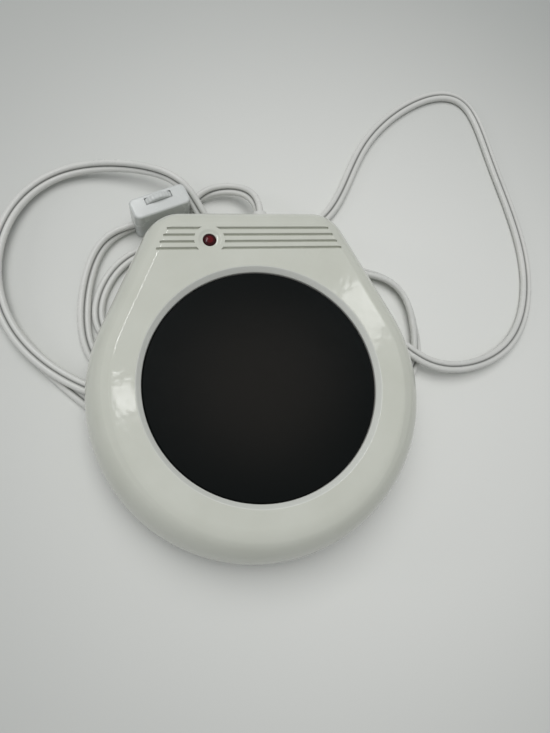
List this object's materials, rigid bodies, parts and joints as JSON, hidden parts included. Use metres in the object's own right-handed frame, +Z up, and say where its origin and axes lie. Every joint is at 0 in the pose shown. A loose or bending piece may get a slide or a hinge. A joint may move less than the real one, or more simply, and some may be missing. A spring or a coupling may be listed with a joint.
{
  "type": "electric mug warmer",
  "caption": "White moulded mug warmer with a sunken round black heating plate, vent grooves, red pilot lens, flat cord with inline thumbwheel switch, and a two-blade plug.",
  "frame": {"origin": "middle of the housing's outline, on the table plane that the four rubber pads stand on", "axes": "+Z up out of the heating plate, +Y towards the rear edge with the vent grooves and the cord exit, +X to the right as seen from the front"},
  "size_m": [0.327, 0.2231, 0.032],
  "materials": {
    "white_gloss": "glossy, slightly warm white moulded plastic",
    "switch_white": "smooth, slightly cool white moulded plastic",
    "black_plate": "black non-stick coating, fine satin",
    "red_lens": "dark red translucent lens, glossy",
    "rubber_grey": "matte grey rubber",
    "steel": "zinc-plated steel",
    "aluminium_sheet": "mill finish sheet",
    "mica": "pale brown mica board",
    "gasket": "white silicone rubber",
    "ribbon": "dull resistance alloy",
    "contact_brass": "stamped brass",
    "ceramic_tan": "tan ceramic and phenolic",
    "lamp_glass": "clear lamp glass",
    "sleeve_white": "white glass-fibre sleeving",
    "wire_black": "black insulated wire",
    "wire_white": "white insulated wire",
    "cord_white": "glossy white flexible insulation",
    "tie_black": "black plastic strip",
    "blade_nickel": "nickel-plated brass"
  },
  "bodies": {
    "warmer": {"upper_housing": "white_gloss", "base_cover": "white_gloss", "rubber_pads": "rubber_grey", "base_screws": "steel", "heating_plate": "black_plate", "plate_gasket": "gasket", "upper_insulator": "mica", "heating_element": "ribbon", "lower_insulator": "mica", "pressure_plate": "steel", "pressure_nut": "steel", "spacer_sleeve": "aluminium_sheet", "heat_shield": "aluminium_sheet", "shield_nut": "steel", "retaining_ring": "steel", "ring_screws": "steel", "thermostat": "ceramic_tan", "thermal_fuse": "ceramic_tan", "pilot_lens": "red_lens", "pilot_lamp": "lamp_glass", "lamp_sleeve": "sleeve_white", "lamp_resistor": "ceramic_tan", "live_wire": "wire_black", "neutral_wire": "wire_white", "lamp_wires": "wire_white", "crimp_caps": "sleeve_white", "strain_relief": "cord_white", "cord_lead": "cord_white", "switch_front": "switch_white", "switch_back": "switch_white", "switch_axle": "steel", "switch_contacts": "contact_brass", "switch_rivets": "steel", "cord_main": "cord_white", "cord_coil": "cord_white", "coil_tie": "tie_black", "plug_body": "white_gloss", "plug_blades": "blade_nickel"},
    "thumbwheel": {"thumbwheel": "switch_white", "wheel_contact": "contact_brass"}
  },
  "joints": [
    {"name": "thumbwheel_turn", "type": "hinge", "parent": "warmer", "child": "thumbwheel", "pos_m": [-0.03517, 0.07959, 0.0106], "axis": [-0.3584, 0.9336, 0], "continuous": true}
  ]
}
